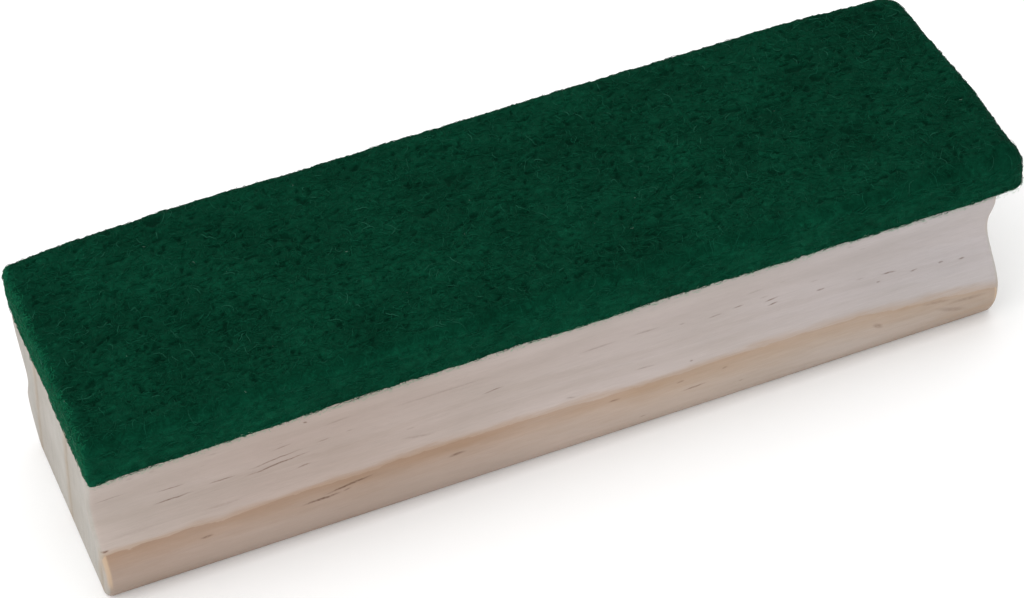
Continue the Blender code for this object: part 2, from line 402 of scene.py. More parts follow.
def wood_section():
    """Outline (y, z), anticlockwise from the middle of the underside."""
    lip_start = WOOD_HI[2] - LIP_EASING
    heights = WOOD_LO[2] + (lip_start - WOOD_LO[2]) * np.linspace(0, 1, 900) ** 1.6
    side = np.stack([half_width(heights), heights], -1)
    turn = np.linspace(0, math.pi / 2, 12)[1:]
    lip = np.stack([LIP_HALF - LIP_EASING * (1 - np.cos(turn)),
                    WOOD_HI[2] - LIP_EASING * (1 - np.sin(turn))], -1)
    right = np.concatenate([[[0.0, WOOD_LO[2]]], side, lip, [[0.0, WOOD_HI[2]]]])
    left = right[::-1][1:] * np.array([-1.0, 1.0])
    path = np.concatenate([right, left])
    step = np.linalg.norm(np.diff(path, axis=0), axis=1)
    # the upper face, hidden under the felt, takes fewer points
    middle_z = 0.5 * (path[1:, 1] + path[:-1, 1])
    weight = np.where(middle_z > WOOD_HI[2] - 0.05 * MM, 0.25, 1.0)
    cost = np.concatenate([[0.0], np.cumsum(step * weight)])
    at = np.linspace(0, cost[-1], WOOD_AROUND, endpoint=False)
    return np.stack([np.interp(at, cost, path[:, 0]), np.interp(at, cost, path[:, 1])], -1)


def wood_stations():
    """Places along the block, and how far the section is drawn in at each."""
    turn = np.linspace(0, math.pi / 2, 7)
    depth = END_EASING * (1 - np.cos(turn))
    inset = END_EASING * (1 - np.sin(turn))
    inner = np.linspace(WOOD_LO[0] + END_EASING, WOOD_HI[0] - END_EASING, WOOD_ALONG)[1:-1]
    places = np.concatenate([WOOD_LO[0] + depth, inner, (WOOD_HI[0] - depth)[::-1]])
    return places, np.concatenate([inset, np.zeros(len(inner)), inset[::-1]])


def wood_relief_mm(points_mm, ease):
    """Hard latewood stands proud of the soft wood; the eased ends are nicked."""
    x, y, z = points_mm.T
    hard = smooth01((ring_place(x - HALF_LENGTH_MM, y, z) - 0.75) / 0.25)
    fibre = fbm3(points_mm * (0.10, 2.2, 2.2), octaves=3, seed=41)
    wave = fbm3(points_mm * (0.03, 0.12, 0.12), octaves=2, seed=43)
    nick = fbm3(points_mm * (0.9, 0.8, 0.8), octaves=3, seed=47)
    relief = 0.030 * hard + 0.022 * fibre + 0.05 * wave - 0.05
    return relief - ease * (0.05 + 0.09 * np.maximum(nick, 0.0))


def wood_end_points(side):
    """Faintly saw-marked points inside the left (0) or right (1) end face."""
    across = np.arange(-BULGE_HALF + 0.6 * MM, BULGE_HALF, END_GRID)
    up = np.arange(WOOD_LO[2] + 0.9 * MM, WOOD_HI[2] - 0.5 * MM, END_GRID)
    grid = np.stack(np.meshgrid(across, up), -1).reshape(-1, 2)
    rng = np.random.default_rng(70 + side)
    grid = grid + rng.uniform(-0.15, 0.15, grid.shape) * MM
    keep = (np.abs(grid[:, 0]) < half_width(grid[:, 1]) - END_EASING - 0.5 * MM) & (
        grid[:, 1] > WOOD_LO[2] + 1.6 * MM) & (grid[:, 1] < WOOD_HI[2] - 1.3 * MM)
    grid = grid[keep]
    y, z = grid.T / MM
    kerf = np.sin((y * 0.35 + z + 0.004 * y ** 2) * 2.6)
    lump = fbm3(padded(y * 0.5, z * 0.5), octaves=3, seed=80 + side)
    end_x = HALF_LENGTH_MM if side else -HALF_LENGTH_MM
    place = ring_place(end_x, y, z - WOOD_LO[2] / MM)
    depth = (0.012 + 0.010 * kerf + 0.03 * np.maximum(lump, -0.4)
             - 0.012 * smooth01((place - 0.8) / 0.2))
    depth = np.maximum(depth, 0.0) * MM
    return np.column_stack([WOOD_HI[0] - depth if side else WOOD_LO[0] + depth, grid])


def make_wood():
    section = wood_section()
    count = len(section)
    tangent = np.roll(section, -1, 0) - np.roll(section, 1, 0)
    tangent /= np.linalg.norm(tangent, axis=1)[:, None]
    normal = np.stack([tangent[:, 1], -tangent[:, 0]], -1)
    centre = np.array([0.0, 0.5 * (WOOD_LO[2] + WOOD_HI[2])])
    half_size = np.array([BULGE_HALF, 0.5 * (WOOD_HI[2] - WOOD_LO[2])])

    places, insets = wood_stations()
    rings, worn = [], []
    for x, inset in zip(places, insets):
        ring = centre + (section - centre) * (1 - inset / half_size)
        low = np.minimum(ring[:, 1] - centre[1], 0.0)
        ring[:, 1] += low * LOW_CORNER_KEPT * inset / half_size[1]
        points_mm = np.column_stack([np.full(count, (x - WOOD_LO[0]) / MM),
                                     ring[:, 0] / MM, (ring[:, 1] - WOOD_LO[2]) / MM])
        ease = smooth01(inset / END_EASING)
        moved = ring + normal * (wood_relief_mm(points_mm, ease) * MM)[:, None]
        moved[:, 1] = np.maximum(moved[:, 1], WOOD_LO[2])
        rings.append(np.column_stack([np.full(count, x), moved]))
        worn.append(np.full(count, ease))
    verts = np.concatenate(rings)

    tris = []
    for side, base in enumerate((0, (len(places) - 1) * count)):
        first = len(verts)
        verts = np.concatenate([verts, wood_end_points(side)])
        worn.append(np.zeros(len(verts) - first))
        tris += cap(verts, base, count, first, axis=0, sign=1.0 if side else -1.0)
    block = mesh_from("pine_block", verts, ring_quads(len(places), count), tris)
    point_attribute(block, "worn", np.concatenate(worn))
    block.data.set_sharp_from_angle(angle=math.radians(50))
    return block


# ------------------------------------------------------------------ wood: the material
NEAR_STREAKS_BELOW_Y_MM = -12.0
# colour of the plain wood: first one, then (start, end, colour) from the left end;
# warmest a little in from there and cooler towards the right
PINE_FIRST = (0.492, 0.416, 0.374)
PINE_TONES_MM = ((5.0, 28.0, (0.483, 0.393, 0.348)), (40.0, 70.0, (0.518, 0.441, 0.405)),
                 (70.0, 105.0, (0.524, 0.460, 0.436)), (105.0, 140.0, (0.513, 0.468, 0.462)))
# tint of the broad band before a ring's limit, laid out the same way
BAND_FIRST = (0.812, 0.735, 0.670)
BAND_TONES_MM = ((8.0, 25.0, (0.852, 0.812, 0.765)), (34.0, 58.0, (0.850, 0.790, 0.730)),
                 (62.0, 95.0, (0.928, 0.878, 0.800)))
LATEWOOD_TINT = (0.860, 0.735, 0.600)
RESIN_TINT = (0.40, 0.31, 0.26)
END_TINT_LEFT, END_TINT_RIGHT = (0.955, 1.06, 1.07), (0.975, 1.015, 0.955)
AMBER = (0.57, 0.415, 0.285)
WORN_WOOD = (0.56, 0.48, 0.42)


def near_streaks(mat, x, y, z):
    """Strength of the near side's streaks at a shaded point."""
    wave = mat.noise(mat.combine(mat.mul(x, 0.30), mat.mul(z, 0.2), 3.0), detail=2.0)
    along = mat.add(x, HALF_LENGTH_MM)
    height = mat.add(z, mat.swing(wave, size=0.45))
    total = None
    for x0, z0, x1, z1, width, strength in NEAR_STREAKS_MM:
        centre = (0.5 * (x0 + x1), 0.5 * (z0 + z1))
        half = (0.5 * math.hypot(x1 - x0, z1 - z0) + 0.10, 0.50 * width)
        # each step waits for the one before it, which keeps the shader's memory small
        place = mat.combine(along, height, 0.0 if total is None else total)
        inside = mat.box_place(place, centre, half, turn=math.atan2(z1 - z0, x1 - x0))
        reach = mat.new("ShaderNodeVectorMath", operation="LENGTH")
        mat.put(reach.inputs[0], inside)
        one = mat.ease(reach.outputs["Value"], span=(1.15, 0.25), out=(0.0, strength))
        total = one if total is None else mat.math("MAXIMUM", total, one)
    ragged = mat.noise(mat.combine(mat.mul(x, 1.7), mat.mul(z, 5.0), 0.0), detail=2.0)
    total = mat.mul(total, mat.ease(ragged, span=(0.30, 0.62), out=(0.55, 1.1)))
    return mat.mul(total, mat.math("LESS_THAN", y, NEAR_STREAKS_BELOW_Y_MM))


def across_rings(mat, along, y, z, warp):
    """Distance along the sheets' normal, as in ring_place, with a little waviness."""
    sway = mat.mul(mat.math("SINE", mat.mul(along, math.pi / SWAY_END_MM)), SWAY_MM)
    sway = mat.mul(sway, mat.math("LESS_THAN", along, SWAY_END_MM))
    drift = mat.ease(along, span=DRIFT_SPAN_MM, out=(0.0, DRIFT_MM))
    bend = mat.math("MAXIMUM", mat.sub(along, BEND_FROM_MM), 0.0)
    bend = mat.math("DIVIDE", bend, BEND_LENGTH_MM)
    bend = mat.mul(mat.mul(bend, bend), BEND_MM)
    shift = mat.add(mat.add(sway, drift), bend)
    across = mat.mul(mat.sub(y, shift), math.cos(RING_LEAN))
    across = mat.add(across, mat.mul(z, math.sin(RING_LEAN)))
    return mat.add(across, warp)


def end_grain(mat, colour, xyz, y, along, place):
    """The wood's colour on the end faces: cooler, with pores and faint ring lines, and painted shade
    towards the far side.
    """
    pores = mat.noise(xyz, stretch=(1.0, 7.0, 7.0), detail=2.0, rough=0.6)
    pores = mat.linear(pores, span=(0.30, 0.75), out=(0.93, 1.04))
    weak = mat.math("FRACT", mat.mul(place, 5.0))
    weak = mat.mul(mat.ease(weak, span=(0.35, 1.0)), mat.ease(weak, span=(1.0, 0.96)))
    patches = mat.noise(xyz, stretch=(0.0, 0.21, 0.07), detail=2.0)
    weak = mat.mul(weak, mat.ease(patches, span=(0.35, 0.65)))
    pores = mat.mul(pores, mat.ease(weak, span=(0.0, 1.0), out=(1.015, 0.94)))
    colour = mat.shade(colour, pores)
    cool = mat.mix(mat.ease(along, span=(0.0, 2 * HALF_LENGTH_MM)), END_TINT_LEFT, END_TINT_RIGHT)
    colour = mat.tint(colour, cool)
    # painted shade: the end faces darken towards the far side, under the felt
    return mat.shade(colour, mat.ease(y, span=(0.0, 18.0), out=(1.0, 0.93)))


def wood_material():
    mat = Shader("sanded_pine")
    xyz = mat.point_mm()
    x, y, z = mat.split(xyz)
    slow = mat.noise(xyz, stretch=(0.035, 0.16, 0.16), detail=2.0)
    quick = mat.noise(xyz, stretch=(0.13, 0.9, 0.9), detail=4.0, rough=0.6)
    warp = mat.add(mat.swing(slow, size=1.3), mat.swing(quick, size=1.3))

    # millimetres past the last ring limit and to the next one
    along = mat.add(x, HALF_LENGTH_MM)
    across = across_rings(mat, along, y, z, warp)
    place = mat.math("DIVIDE", mat.sub(across, RING_AT_MM), RING_STEP_MM)
    place = mat.math("FRACT", place)
    above = mat.mul(place, RING_STEP_MM)
    below = mat.sub(RING_STEP_MM, above)

    # latewood, softer on both sides of the limit where it meets the end faces
    rise = mat.math("POWER", mat.ease(below, span=(3.4, 0.1)), 1.2)
    dark = mat.math("MAXIMUM", rise, mat.ease(above, span=(0.95, 0.0)))
    normal_x = mat.normal()[0]
    end = mat.ease(mat.math("ABSOLUTE", normal_x), span=(0.25, 0.80))
    soft = mat.ease(mat.math("MINIMUM", above, below), span=(1.9, 0.1), out=(0.0, 0.85))
    dark = mat.add(dark, mat.mul(end, mat.sub(soft, dark)))
    patchy = mat.noise(xyz, stretch=(0.05, 0.30, 0.30), rough=0.6)
    dark = mat.mul(dark, mat.linear(patchy, span=(0.25, 0.7), out=(0.55, 1.1)))
    band = mat.mul(mat.ease(below, span=(11.0, 2.0)),
                   mat.ease(end, span=(0.4, 1.0), out=(1.0, 0.25)))

    # thin growth lines inside a ring, long fibres, fine fibres, pale patches
    lines = mat.combine(mat.mul(x, 0.008), mat.mul(across, 1.1), mat.mul(z, 0.02))
    lines = mat.noise(lines, detail=4.0, rough=0.6)
    fibres = mat.noise(xyz, stretch=(0.14, 4.5, 4.5), detail=4.0, rough=0.6)
    fine = mat.noise(xyz, stretch=(0.6, 16.0, 16.0), detail=2.0)
    blotch = mat.noise(xyz, stretch=(0.05, 0.16, 0.16), rough=0.55)

    colour = mat.tones(along, PINE_FIRST, PINE_TONES_MM)
    shade = mat.linear(blotch, span=(0.25, 0.75), out=(0.94, 1.06))
    colour = mat.tint(colour, mat.combine(shade, shade, mat.math("POWER", shade, 1.2)))
    tinted = mat.tint(colour, mat.tones(along, BAND_FIRST, BAND_TONES_MM))
    colour = mat.mix(band, colour, tinted)
    colour = mat.mix(dark, colour, mat.tint(colour, LATEWOOD_TINT))
    shade = mat.linear(lines, span=(0.30, 0.70), out=(0.955, 1.03))
    colour = mat.tint(colour, mat.combine(shade, mat.math("POWER", shade, 1.15),
                                          mat.math("POWER", shade, 1.4)))
    colour = mat.shade(colour, mat.linear(fibres, span=(0.25, 0.75), out=(0.955, 1.04)))
    colour = mat.shade(colour, mat.linear(fine, span=(0.25, 0.75), out=(0.97, 1.03)))

    # resin streaks: placed ones on the near side, scattered ones on the others,
    # where they show as dashes along the grain and as dots on the end faces
    streak = near_streaks(mat, x, y, z)
    canal = mat.noise(xyz, stretch=(0.22, 2.6, 2.6), detail=1.0, rough=0.4)
    canal = mat.mul(mat.ease(canal, span=(0.735, 0.80)), mat.math("GREATER_THAN", y, -16.0))
    streak = mat.math("MAXIMUM", streak, mat.mul(canal, 0.6))
    tinted = mat.tint(colour, RESIN_TINT)
    colour = mat.mix(mat.mul(streak, 0.85, clamp=True), colour, tinted)
    colour = mat.mix(end, colour, end_grain(mat, colour, xyz, y, along, place))

    # amber on the eased near corners of the ends, paler wood where they are worn
    worn = mat.attribute("worn")
    facing = mat.math("ABSOLUTE", normal_x)
    amber = mat.mul(mat.ease(facing, span=(0.10, 0.40)),
                    mat.ease(facing, span=(0.96, 0.70), out=(0.0, 0.8)))
    amber = mat.mul(amber, mat.mul(mat.ease(below, span=(9.5, 5.0)),
                                   mat.ease(z, span=(2.6, 6.2))))
    amber = mat.mul(amber, mat.math("LESS_THAN", y, -10.0), clamp=True)
    colour = mat.mix(amber, colour, AMBER)
    colour = mat.mix(mat.mul(worn, 0.22), colour, WORN_WOOD)

    rough = mat.add(mat.linear(fibres, span=(0.2, 0.8), out=(0.56, 0.70)), mat.mul(dark, -0.06))
    height = mat.add(mat.mul(fibres, 0.6), mat.mul(fine, 0.4))
    height = mat.sub(height, mat.mul(streak, 0.8))
    mat.surface(Base_Color=colour, Roughness=rough, Specular_IOR_Level=0.25,
                Normal=mat.bump(height, distance=0.00005, strength=0.8))
    return mat.material


# ------------------------------------------------------------------ felt: the shape
# A plain pad with straight sides is built first, then bowed and skewed by as_cut.
FELT_STEP = 0.33 * MM
FELT_ROWS = 20
FELT_ROUND = 1.9 * MM
WORN_ROUND = 3.6 * MM                   # the near right corner is worn down
LEFT_ROUND = 1.1 * MM                   # the left end is a cleaner cut
FELT_UNDER = 0.4 * MM                   # rounding of the lower edge
SAG_MM = 0.30                           # how far the lower edge sinks towards the seam
CORNERS_LEFT = (0.55 * MM, 2.6 * MM)    # plan radius of the near corner, of the far one
CORNERS_RIGHT = (2.9 * MM, 3.6 * MM)
BOW_NEAR = 0.9 * MM
BOW_FAR = 0.5 * MM
SKEW = 1.05 * MM                        # the right end is cut askew
PLAIN_FAR = FELT_HI[1] - BOW_FAR        # the far edge before it bows out
PLAIN_NEAR = FELT_LO[1]
PLAIN_LEFT = FELT_LO[0]
PLAIN_RIGHT = WOOD_HI[0] + 2.95 * MM    # the right end before it is cut askew
TIGHT_REACH = 2 * MM                    # neighbourhood of the tight near left corner


def as_cut(points):
    """Bows the long edges and skews the right end: from a plain pad to the real one."""
    x, y = points[..., 0], points[..., 1]
    along = np.clip((x - PLAIN_LEFT) / (PLAIN_RIGHT - PLAIN_LEFT), 0, 1)
    across = np.clip((y - PLAIN_NEAR) / (PLAIN_FAR - PLAIN_NEAR), 0, 1)
    cut = points.copy()
    cut[..., 0] -= SKEW * y / -PLAIN_NEAR * along ** 3
    cut[..., 1] += np.sin(math.pi * along) * (BOW_NEAR * (1 - across) + BOW_FAR * across)
    # the far edge wanders a little more and falls back at both ends
    cut[..., 1] += across * MM * (0.45 * np.exp(-((along - 0.2) / 0.09) ** 2)
                                  - 1.0 * np.exp(-(along / 0.045) ** 2)
                                  - 0.9 * smooth01((along - 0.895) / 0.07))
    cut[..., 1] += (1 - across) * MM * (0.28 + 0.45 * smooth01((along - 0.92) / 0.06))
    return cut


def edge_distance(x, y, with_left=True):
    """Distance in from the straight-sided outline of the pad, rounded corners."""
    left, right = x - PLAIN_LEFT, PLAIN_RIGHT - x
    near, far = y - PLAIN_NEAR, PLAIN_FAR - y
    from_end = np.minimum(left, right) if with_left else right
    from_side = np.minimum(near, far)
    radius = np.where(near < far, np.where(left < right, CORNERS_LEFT[0], CORNERS_RIGHT[0]),
                      np.where(left < right, CORNERS_LEFT[1], CORNERS_RIGHT[1]))
    in_corner = (from_end < radius) & (from_side < radius)
    from_arc = radius - np.hypot(radius - from_end, radius - from_side)
    return np.where(in_corner, from_arc, np.minimum(from_end, from_side))


def edge_drop(distance, radius):
    """Drop of a rounded edge at a distance in from it."""
    distance = np.clip(distance, 0.0, radius)
    return radius - np.sqrt(np.maximum(radius ** 2 - (radius - distance) ** 2, 0.0))


def felt_top(x, y):
    """Height of the pad's upper surface with its rolled edges."""
    worn = smooth01((x - PLAIN_RIGHT + 16 * MM) / (13 * MM)) * smooth01((-y - 5 * MM) / (11.5 * MM))
    radius = FELT_ROUND + (WORN_ROUND - FELT_ROUND) * worn
    return FELT_HI[2] - np.maximum(edge_drop(edge_distance(x, y, with_left=False), radius),
                                   edge_drop(edge_distance(x, y), LEFT_ROUND))


def slopes(height, x, y, step):
    """Slopes of a function of x and y along each of them."""
    return [(height(x + step, y) - height(x - step, y)) / (2 * step),
            (height(x, y + step) - height(x, y - step)) / (2 * step)]


def top_normal(x, y):
    slope_x, slope_y = slopes(felt_top, x, y, 0.03 * MM)
    normal = np.stack([-slope_x, -slope_y, np.ones_like(slope_x)], -1)
    return normal / np.linalg.norm(normal, axis=1)[:, None]


def under_inset(z):
    """How far the rounded lower edge is drawn in at a height."""
    low = np.clip(1 - (z - FELT_LO[2]) / FELT_UNDER, 0, 1)
    return FELT_UNDER * (1 - np.sqrt(1 - low * low))


def bent_place(points):
    """Points in millimetres, shifted about so that no noise looks like a grid."""
    place = points / MM
    warp = [noise3(place * 0.45 + 5.0 + 20.0 * k, 91 + k) for k in range(3)]
    return place + np.stack(warp, -1) * 0.8


def felt_pit(points, bent):
    """Small open places between the tufts, 0 to 1, none at the rolled edges."""
    pit = smooth01((noise3(bent * (1.05, 1.45, 1.3) + 11.0, 113) - 0.42) / 0.30)
    return pit * smooth01(edge_distance(points[:, 0], points[:, 1]) / (2.4 * MM) - 0.25)


def felt_relief(points):
    """Height of the felt's nap."""
    bent = bent_place(points)
    swell = fbm3(bent * 0.11, octaves=2, seed=101)
    tuft = fbm3(bent * (0.75, 0.95, 0.75), octaves=3, seed=103, gain=0.6)
    ridge = 1.0 - np.abs(noise3(bent * (1.2, 1.6, 1.2), 107)) * 2.0
    cross_ridge = 1.0 - np.abs(noise3(bent * (0.9, 0.7, 1.0) + 31.0, 109)) * 2.0
    return (0.15 * swell + 0.11 * tuft + 0.05 * ridge + 0.04 * cross_ridge
            - 0.24 * felt_pit(points, bent)) * MM


def vertex_normals(verts, quads):
    corners = [verts[quads[:, i]] for i in range(4)]
    normal = np.cross(corners[2] - corners[0], corners[3] - corners[1])
    total = np.zeros_like(verts)
    for i in range(4):
        np.add.at(total, quads[:, i], normal)
    return total / np.maximum(np.linalg.norm(total, axis=1), 1e-15)[:, None]


def spaced(start, end, start_width, end_width):
    """Positions from start to end, closer together over the rolled edges."""
    def edge_steps(width):
        count = max(6, int(round(width * 1.5 / FELT_STEP)))
        return width * (1 - np.cos(np.linspace(0, math.pi / 2, count + 1)))
    head = start + edge_steps(start_width)
    tail = end - edge_steps(end_width)[::-1]
    count = max(2, int(round((tail[0] - head[-1]) / FELT_STEP)))
    return np.concatenate([head[:-1], np.linspace(head[-1], tail[0], count + 1), tail[1:]])


def felt_top_grid():
    """Points of the plain top, and their numbers as a grid (along x, along y)."""
    columns = spaced(PLAIN_LEFT, PLAIN_RIGHT, CORNERS_LEFT[1], WORN_ROUND)
    rows = spaced(PLAIN_NEAR, PLAIN_FAR, WORN_ROUND, FELT_ROUND)
    grid_x, grid_y = np.meshgrid(columns, rows, indexing="ij")
    x, y = grid_x.ravel(), grid_y.ravel()
    # square corners are drawn in to the corner's arc
    for end_x, sign_x, radii in ((PLAIN_LEFT, 1.0, CORNERS_LEFT), (PLAIN_RIGHT, -1.0, CORNERS_RIGHT)):
        for side_y, sign_y, radius in ((PLAIN_NEAR, 1.0, radii[0]), (PLAIN_FAR, -1.0, radii[1])):
            centre_x, centre_y = end_x + sign_x * radius, side_y + sign_y * radius
            out_x, out_y = (centre_x - x) * sign_x, (centre_y - y) * sign_y
            inside = (out_x > 0) & (out_y > 0)
            length = np.hypot(out_x, out_y)
            shrink = np.where(inside & (length > 1e-12),
                              np.maximum(out_x, out_y) / np.maximum(length, 1e-12), 1.0)
            x = np.where(inside, centre_x - sign_x * out_x * shrink, x)
            y = np.where(inside, centre_y - sign_y * out_y * shrink, y)
    return np.stack([x, y, felt_top(x, y)], -1), np.arange(len(x)).reshape(grid_x.shape)


def rim_directions(rim, tight):
    """Outward directions along the rim; tight is the distance to the near left corner."""
    ahead = np.roll(rim, -1, 0) - np.roll(rim, 1, 0)
    out = np.stack([ahead[:, 1], -ahead[:, 0]], -1)
    out = sum(np.roll(out, k, 0) for k in (-1, 0, 1))
    out /= np.linalg.norm(out, axis=1)[:, None]
    # the near left corner turns too tightly for that, so it gets its true directions
    arm = rim - (np.array([PLAIN_LEFT, PLAIN_NEAR]) + CORNERS_LEFT[0])
    close = tight < TIGHT_REACH
    on_arc = close & (arm[:, 0] < 0) & (arm[:, 1] < 0)
    out[on_arc] = arm[on_arc] / np.linalg.norm(arm[on_arc], axis=1)[:, None]
    out[close & (arm[:, 0] >= 0)] = (0.0, -1.0)
    out[close & (arm[:, 0] < 0) & (arm[:, 1] >= 0)] = (-1.0, 0.0)
    return out


def felt_under_points(rim, rim_out):
    """Points inside the underside: a coarse grid and three rows close to the rim."""
    columns = np.arange(PLAIN_LEFT + 3 * MM, PLAIN_RIGHT - 3 * MM, 4 * MM)
    rows = np.arange(PLAIN_NEAR + 3 * MM, PLAIN_FAR - 2 * MM, 4 * MM)
    grid = np.stack(np.meshgrid(columns, rows), -1).reshape(-1, 2)
    near_rim = np.concatenate([(rim - rim_out * inset * MM)[::3] for inset in (0.8, 1.4, 2.2)])
    inner = np.concatenate([grid[edge_distance(*grid.T) > 2.8 * MM],
                            near_rim[edge_distance(*near_rim.T) > 0.7 * MM]])
    uneven = fbm3(padded(*(inner / MM * 0.8).T), octaves=3, seed=151)
    return np.column_stack([inner, FELT_LO[2] + 0.05 * MM * uneven])


def make_felt():
    flat, grid = felt_top_grid()
    # the rim of the grid, anticlockwise, is the top of the side wall
    rim = np.concatenate([grid[:-1, 0], grid[-1, :-1], grid[:0:-1, -1], grid[0, :0:-1]])
    rim_xy, rim_z = flat[rim, :2], flat[rim, 2]
    count = len(rim)
    tight = np.hypot(rim_xy[:, 0] - PLAIN_LEFT, rim_xy[:, 1] - PLAIN_NEAR)
    rim_out = rim_directions(rim_xy, tight)
    around = np.concatenate([[0.0], np.cumsum(np.linalg.norm(np.diff(rim_xy, axis=0), axis=1))])
    walls = []
    for row in range(1, FELT_ROWS + 1):
        z = rim_z - (rim_z - FELT_LO[2]) * (row / FELT_ROWS)
        walls.append(np.column_stack([rim_xy - rim_out * under_inset(z)[:, None], z]))
    plain = np.concatenate([flat] + walls)
    quads = [np.stack([part.ravel() for part in (grid[:-1, :-1], grid[1:, :-1],
                                                 grid[1:, 1:], grid[:-1, 1:])], -1)]
    rows = [rim] + [len(flat) + row * count + np.arange(count) for row in range(FELT_ROWS)]
    for upper, lower in zip(rows, rows[1:]):
        quads.append(np.stack([upper, lower, np.roll(lower, -1), np.roll(upper, -1)], -1))
    quads = np.concatenate(quads)

    # nap over the top, felted layers along the cut sides, a sagging lower edge
    normal = vertex_normals(plain, quads)
    push = felt_relief(plain) - 0.05 * MM
    nap = push / (0.22 * MM)
    drop = np.zeros(len(plain))
    around_mm = padded(around / MM)
    for row, at in enumerate(rows[1:], start=1):
        depth = row / FELT_ROWS
        layer = padded(around / MM * 0.55, plain[at, 2] / MM * 2.3)
        layer = fbm3(layer, octaves=3, seed=131, gain=0.6)
        nap[at] += 0.5 * layer
        push[at] = push[at] * 0.9 + (0.10 * layer + 0.12 * math.sin(math.pi * depth)) * MM
        drop[at] = (0.08 * fbm3(around_mm * 1.1, octaves=3, seed=139)
                    + 0.20 * fbm3(around_mm * 0.13, octaves=2, seed=141)
                    - SAG_MM) * depth ** 3 * MM
    push[-count:] *= smooth01((tight - 1.0 * MM) / (1.0 * MM))
    verts = plain + normal * push[:, None]
    verts[:, 2] += drop

    first = len(verts)
    verts = np.concatenate([verts, felt_under_points(rim_xy, rim_out)])
    nap = np.concatenate([nap, np.zeros(len(verts) - first)])
    tris = cap(verts, first - count, count, first, axis=2, sign=-1.0)
    body = mesh_from("felt_body", as_cut(verts), quads, tris)
    # the nap height also sets the painted shade in the felt's colour
    point_attribute(body, "nap", np.clip(nap, -1.5, 1.5))
    return body


def felt_material():
    mat = Shader("pressed_felt")
    xyz = mat.point_mm()
    x = mat.split(xyz)[0]
    warp = mat.noise(xyz, scale=0.6, detail=2.0, output="Color")
    push = mat.scaled(warp, 3.2)
    add = mat.new("ShaderNodeVectorMath", operation="ADD")
    mat.put(add.inputs[0], xyz)
    mat.put(add.inputs[1], push)
    bent = add.outputs[0]
    # hairs along y, hairs along x -- each noise is drawn out one way -- and a fine tangle
    hair_x = mat.noise(bent, stretch=(1.1, 6.5, 3.0), rough=0.6)
    hair_y = mat.noise(bent, stretch=(6.5, 1.1, 3.0), rough=0.6)
    tangle = mat.noise(bent, stretch=(4.0, 4.0, 4.0), detail=4.0, rough=0.65)
    tuft = mat.noise(xyz, scale=0.7, rough=0.6)
    cloud = mat.noise(xyz, scale=0.09, detail=2.0)
    hair = mat.math("MAXIMUM", mat.ease(hair_x, span=(0.45, 0.75)),
                    mat.ease(hair_y, span=(0.45, 0.75)))
    dark, middle, light = (0.0014, 0.0320, 0.0155), (0.0023, 0.0510, 0.0245), (0.0050, 0.0760, 0.0410)
    colour = mat.mix(mat.ease(tangle, span=(0.30, 0.70)), dark, middle)
    colour = mat.mix(mat.mul(hair, 0.55), colour, light)
    colour = mat.shade(colour, mat.linear(tuft, span=(0.3, 0.7), out=(0.84, 1.14)))
    colour = mat.shade(colour, mat.linear(cloud, span=(0.35, 0.65), out=(0.94, 1.06)))
    # painted shade: the open places between the tufts, low in the nap, are darkened and the raised
    # nap a little lightened
    pit_painted_shade = mat.linear(mat.attribute("nap"), span=(-1.1, 0.5), out=(0.45, 1.08))
    colour = mat.shade(colour, pit_painted_shade)
    # painted light: the cut sides are lightened, the left end most, where the key light falls from
    # the left
    normal_x, _, normal_z = mat.normal()
    cut = mat.ease(normal_z, span=(0.75, 0.2), out=(1.0, 1.40))
    end = mat.ease(normal_x, span=(-0.35, -0.8), out=(0.0, 0.75))
    # the painted light also reaches the top's rolled strip along the left end
    left_mm = PLAIN_LEFT / MM
    end = mat.add(end, mat.ease(x, span=(left_mm + 2.2, left_mm + 0.3), out=(0.0, 0.40)))
    colour = mat.shade(colour, mat.add(cut, end))
    height = mat.add(mat.mul(hair, 0.6), mat.mul(tangle, 0.7))
    mat.surface(Base_Color=colour,
                Roughness=mat.linear(tangle, span=(0.2, 0.8), out=(0.86, 1.0)),
                Specular_IOR_Level=0.10, Specular_Tint=(0.05, 0.55, 0.30, 1.0),
                Normal=mat.bump(height, distance=0.00022, strength=0.9))
    return mat.material


# ------------------------------------------------------------------ felt: the fibres
FIBRE_POINTS = 6
FUZZ_POINTS = 5


def tubes(name, paths, radius):
    """Closed three-sided tubes along paths of shape (count, points, 3)."""
    count, points, _ = paths.shape
    tangent = np.gradient(paths, axis=1)
    tangent /= np.maximum(np.linalg.norm(tangent, axis=2, keepdims=True), 1e-12)
    side = np.cross(tangent, np.array([0.31, 0.17, 0.93]))
    side /= np.maximum(np.linalg.norm(side, axis=2, keepdims=True), 1e-12)
    lift = np.cross(tangent, side)
    taper = np.sin(np.linspace(0.30, math.pi - 0.30, points)) ** 0.5
    reach = radius[:, None, None] * taper[None, :, None]
    turns = [2 * math.pi * k / 3 for k in range(3)]
    rings = np.stack([paths + (side * math.cos(turn) + lift * math.sin(turn)) * reach
                      for turn in turns], 2)
    start = paths[:, :1] - tangent[:, :1] * radius[:, None, None]
    end = paths[:, -1:] + tangent[:, -1:] * radius[:, None, None]
    verts = np.concatenate([rings.reshape(count, points * 3, 3), start, end], 1)
    tip, last = points * 3, (points - 1) * 3
    tris = []
    for k in range(3):
        after = (k + 1) % 3
        tris += [[tip, after, k], [tip + 1, last + k, last + after]]
    base = np.arange(count)[:, None, None] * (tip + 2)
    quads = (ring_quads(points, 3)[None] + base).reshape(-1, 4)
    tris = (np.array(tris)[None] + base).reshape(-1, 3)
    return mesh_from(name, verts.reshape(-1, 3), quads, tris)


